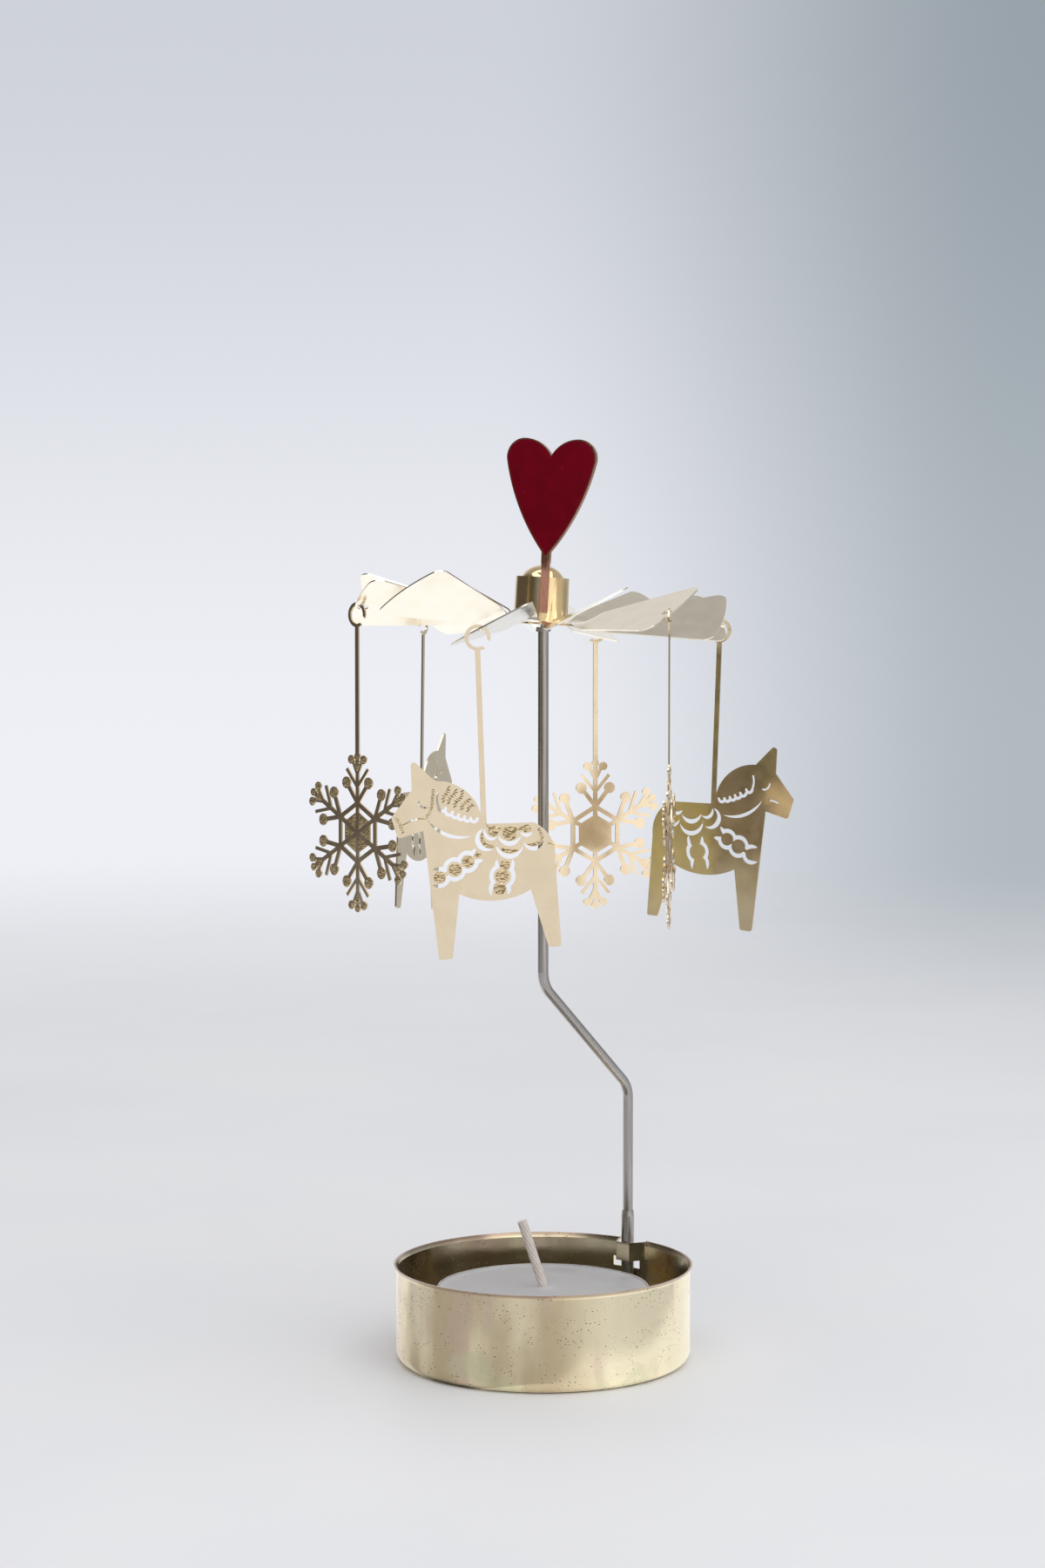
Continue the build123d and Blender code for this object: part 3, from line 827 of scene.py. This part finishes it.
def horse_etching(number):
    """Etched harness and saddle on the front of a horse, with finer strokes for straps and mane."""
    body = f"horse_{number}"
    relief = Relief(body, horse_foot, number)
    for centre, radius in beads + saddle_lobes:
        relief.add(circle_loop(centre, radius))
    for sizes in saddle_sickles:
        relief.add(sickle_loop(*sizes))
    relief.add(band_loop(saddle_band, saddle_band_width))
    add_relief(f"{body}_etching", relief, "etched_brass", body)
    strokes = Relief(body, horse_foot, number)
    for path in cross_paths:
        for place, turn in along_path(path, cross_step):
            sway = strokes.draw.uniform(-cross_sway, cross_sway)
            strokes.stroke(place, *cross_dash, turn + pi / 2 + sway)
    for path in line_paths:
        for place, turn in along_path(path, line_step):
            strokes.stroke(place, *line_dash, turn)
    for path in mane_columns:
        mane_strokes(strokes, path)
    add_relief(f"{body}_strokes", strokes, "etched_stroke", body)


def mane_strokes(relief, path):
    """Wavy column of short strokes that lean to one side and the other by turns."""
    for number, (place, turn) in enumerate(along_path(path, mane_step)):
        aside = mane_wave * sin(number)
        centre = (place[0] - sin(turn) * aside, place[1] + cos(turn) * aside)
        lean = mane_lean * cos(number) + relief.draw.uniform(-mane_sway, mane_sway)
        relief.stroke(centre, *mane_dash, lean)


def snowflake_etching(number):
    """Etched knobs, tips and middle on the front of a snowflake."""
    body = f"snowflake_{number}"
    relief = Relief(body, flake_middle, flake_seed + number)
    wedge = [
        (-wedge_inner_half, wedge_inner),
        (wedge_inner_half, wedge_inner),
        (wedge_outer_half, wedge_outer),
        (-wedge_outer_half, wedge_outer),
    ]
    for arm in range(arm_count):
        turn = 2 * pi * arm / arm_count
        for place in knob_places:
            relief.add(circle_loop(turned(place, turn), knob_radius))
        for place in leaf_places:
            relief.add(circle_loop(turned(place, turn), leaf_radius, leaf_points))
        relief.add(circle_loop(turned(tip_place, turn), tip_radius, tip_points))
        holes = [circle_loop(turned(hole, turn), pinhole_radius, pinhole_points) for hole in pinholes]
        relief.add([turned(point, turn) for point in spade], holes)
        relief.add([turned(point, turn + pi / arm_count) for point in wedge])
    add_relief(f"{body}_etching", relief, "etched_brass", body)


def heart_points():
    """Outline of the heart, its tip at the origin, counter-clockwise."""
    lobe = (heart_width / 2 - heart_lobe, heart_height - heart_lobe)
    lean = radians(heart_side_lean)
    shoulder = (lobe[0] + heart_lobe * cos(lean), lobe[1] - heart_lobe * sin(lean))
    half_sweep = 90 - heart_side_lean - degrees(atan2(shoulder[1], shoulder[0]))
    side_radius = hypot(*shoulder) / (2 * sin(radians(half_sweep)))
    side = (shoulder[0] - side_radius * cos(lean), shoulder[1] + side_radius * sin(lean))
    side_start = -heart_side_lean - 2 * half_sweep
    notch_radius = (lobe[0]**2 + heart_notch**2) / (2 * heart_notch)
    notch = (lobe[0], heart_height - notch_radius)
    notch_sweep = degrees(atan2(lobe[0], notch_radius - heart_notch))
    right = arc_points(side, side_radius, side_start, 2 * half_sweep, heart_side_points)
    right += arc_points(lobe, heart_lobe, -heart_side_lean, 90 + heart_side_lean, heart_lobe_points)[1:]
    right += arc_points(notch, notch_radius, 90, notch_sweep, heart_notch_points)[1:]
    left = [(-x, y) for x, y in right[-2:0:-1]]
    return right + left


def turn_about(axis, angle):
    """Turn about an axis through the origin, in degrees."""
    return Matrix.Rotation(radians(angle), 4, axis)


def rotor_lean():
    """Turn of the rotor about the point of its needle, out of level."""
    pivot = Matrix.Translation((0, 0, needle_tip * MM))
    low_side = turn_about("Z", rotor_tilt_turn)
    return pivot @ low_side @ turn_about("Y", rotor_tilt) @ low_side.inverted() @ pivot.inverted()


def heart_enamel(name, face):
    """Crowned enamel on one face of the heart; face is 1 in front and -1 behind."""
    middle = heart_height / 2
    outline = [(x * enamel_margin, middle + (y - middle) * enamel_margin) for x, y in heart_points()]
    depth = heart_sheet / 2 - enamel_lift
    shell = bmesh.new()
    ring = [shell.verts.new((-face * x * MM, -face * depth * MM, y * MM)) for x, y in outline]
    cap = bmesh.ops.extrude_face_region(shell, geom=[shell.faces.new(ring)])
    lifted = [item for item in cap["geom"] if isinstance(item, bmesh.types.BMVert)]
    bmesh.ops.translate(shell, verts=lifted, vec=(0, -face * 2 * enamel_lift * MM, 0))
    top = [item for item in cap["geom"] if isinstance(item, bmesh.types.BMFace)]
    bmesh.ops.recalc_face_normals(shell, faces=shell.faces)
    for step in (1, 2):
        edge = step * enamel_edge * MM
        rise = enamel_crown * MM / (2 * step)
        bmesh.ops.inset_region(shell, faces=top, thickness=edge, depth=rise)
    place = Matrix.Translation((0, -heart_offset * MM, heart_tip * MM))
    shell.transform(rotor_lean() @ turn_about("Z", heart_turn) @ place @ turn_about("Z", heart_twist))
    mesh = bpy.data.meshes.new(name)
    shell.to_mesh(mesh)
    shell.free()
    add_piece(name, mesh, "heart_enamel", "rotor", enamel_smooth_angle)


def ring_faces(inner, outer, sides):
    """Faces between two rings of points, given by the number of the first point of each."""
    faces = []
    for side in range(sides):
        after = (side + 1) % sides
        faces.append([inner + side, outer + side, outer + after, inner + after])
    return faces


def wax_skin(name):
    """Top of the wax: drawn up at the wick and the wall, faintly waved between."""
    draw = random.Random(wax_seed)
    limits = [(-wax_wave_turn, wax_wave_turn), (-wax_wave_turn, wax_wave_turn), (0, 2 * pi)]
    waves = [[draw.uniform(*limit) for limit in limits] for _ in range(wax_wave_count)]
    points = []
    for ring in range(wax_rings + 1):
        share = (ring / wax_rings)**wax_ring_power
        radius = wick_radius + (wax_radius - wick_radius) * share
        drawn_up = wax_rise_at_wick * exp(-(radius - wick_radius) / wax_fade_at_wick)
        drawn_up += wax_rise_at_wall * exp(-(wax_radius - radius) / wax_fade_at_wall)
        for x, y in circle_loop((0, 0), radius, wax_sides):
            swell = sum(wax_wave_height * sin(a * x + b * y + c) for a, b, c in waves)
            height = wax_top + max(drawn_up + swell, wax_least_rise)
            points.append((x * MM, y * MM, height * MM))
    low_inner = len(points)
    for ring in (0, wax_rings):
        row = points[ring * wax_sides:(ring + 1) * wax_sides]
        points += [(x, y, (wax_top - wax_sink) * MM) for x, y, _ in row]
    rows = [low_inner]
    rows += [ring * wax_sides for ring in range(wax_rings + 1)]
    rows += [low_inner + wax_sides, low_inner]
    faces = []
    for inner, outer in zip(rows, rows[1:]):
        faces += ring_faces(inner, outer, wax_sides)
    add_piece(name, new_mesh(name, points, faces), "wax", "tealight", wax_smooth_angle)


def add_floor(name):
    """Round pale table top."""
    points = [(0, 0, -floor_drop)]
    for ring in range(1, floor_rings + 1):
        loop = circle_loop((0, 0), floor_radius * ring / floor_rings, floor_sides)
        points += [(x, y, -floor_drop) for x, y in loop]
    faces = [[0, 1 + side, 1 + (side + 1) % floor_sides] for side in range(floor_sides)]
    for ring in range(floor_rings - 1):
        inner = 1 + ring * floor_sides
        faces += ring_faces(inner, inner + floor_sides, floor_sides)
    mesh = new_mesh(name, points, faces)
    mesh.materials.append(floor_finish(name))
    floor = add_object(name, mesh)


def patched(nodes, outlook, colour, patches):
    """Colour of the surroundings, with soft round patches over it."""
    for mode, turn, lift, wide, narrow, tone in patches:
        facing = nodes.along(outlook, heading(turn, lift))
        share = nodes.remap(facing, cos(radians(wide)), cos(radians(narrow)), 0, 1)
        colour = nodes.mix(mode, share, colour, tone)
    return colour


def studio_world():
    """Soft studio surroundings: the object mirrors the room, and the camera sees the plain wall."""
    world = bpy.data.worlds.new("studio")
    bpy.context.scene.world = world
    world.use_nodes = True
    nodes = Nodes(world.node_tree)
    background = world.node_tree.nodes["Background"]
    outlook = nodes.add("ShaderNodeTexCoord").outputs["Generated"]
    sight = nodes.add("ShaderNodeLightPath").outputs["Is Camera Ray"]
    room = patched(nodes, outlook, room_colour, room_patches)
    wall = patched(nodes, outlook, wall_colour, wall_patches)
    nodes.join(nodes.mix("MIX", sight, room, wall), background.inputs["Color"])
    background.inputs["Strength"].default_value = 1.0


def add_light(name, place, facing, size, power):
    """Square soft box at a place, shining in one direction."""
    data = bpy.data.lights.new(name, "AREA")
    data.size = size
    data.energy = power
    light = add_object(name, data)
    light.location = place
    light.rotation_euler = (-facing).to_track_quat("Z", "Y").to_euler()
    light.visible_camera = False


def add_lights():
    """Soft boxes round the object, and the bright card behind it."""
    for name, turn, lift, distance, size, power in soft_boxes:
        outward = heading(turn, lift)
        add_light(name, light_target + outward * distance, -outward, size, power)
    card = heading(bounce_turn) * bounce_distance + UP * floor_drop
    add_light("bounce", card, UP, bounce_size, bounce_power)


def add_camera():
    """Camera at the photograph's place."""
    data = bpy.data.cameras.new("camera")
    data.lens = camera_lens
    data.sensor_width = camera_sensor
    data.clip_start = camera_near
    camera = add_object("camera", data)
    camera.location = heading(0) * camera_distance + heading(90) * camera_side + UP * camera_height
    camera.rotation_euler = (radians(90 - camera_pitch), 0, radians(camera_turn))
    bpy.context.scene.camera = camera


finishes = {
    "tin_brass": tin_finish("tin_brass"),
    "heart_enamel": enamel_finish("heart_enamel"),
    "wax": wax_finish("wax"),
    "wick_cotton": wick_finish("wick_cotton"),
}
finishes |= {name: mirror_finish(name, *look) for name, look in mirror_metals.items()}
finishes |= {name: streaked_finish(name, *look) for name, look in streaked_metals.items()}
finishes |= {name: etched_finish(name, *look) for name, look in etched_metals.items()}

for name, node in frame["nodes"].items():
    node.data.materials.clear()
    node.data.materials.append(finishes[node_finishes.get(name, pendant_finish)])

for number in range(1, pendant_count + 1):
    horse_etching(number)
    snowflake_etching(number)
heart_enamel("heart_enamel_front", 1)
heart_enamel("heart_enamel_back", -1)
wax_skin("wax_skin")

add_floor("floor")
studio_world()
add_lights()
add_camera()
bpy.context.scene.view_settings.view_transform = "Standard"
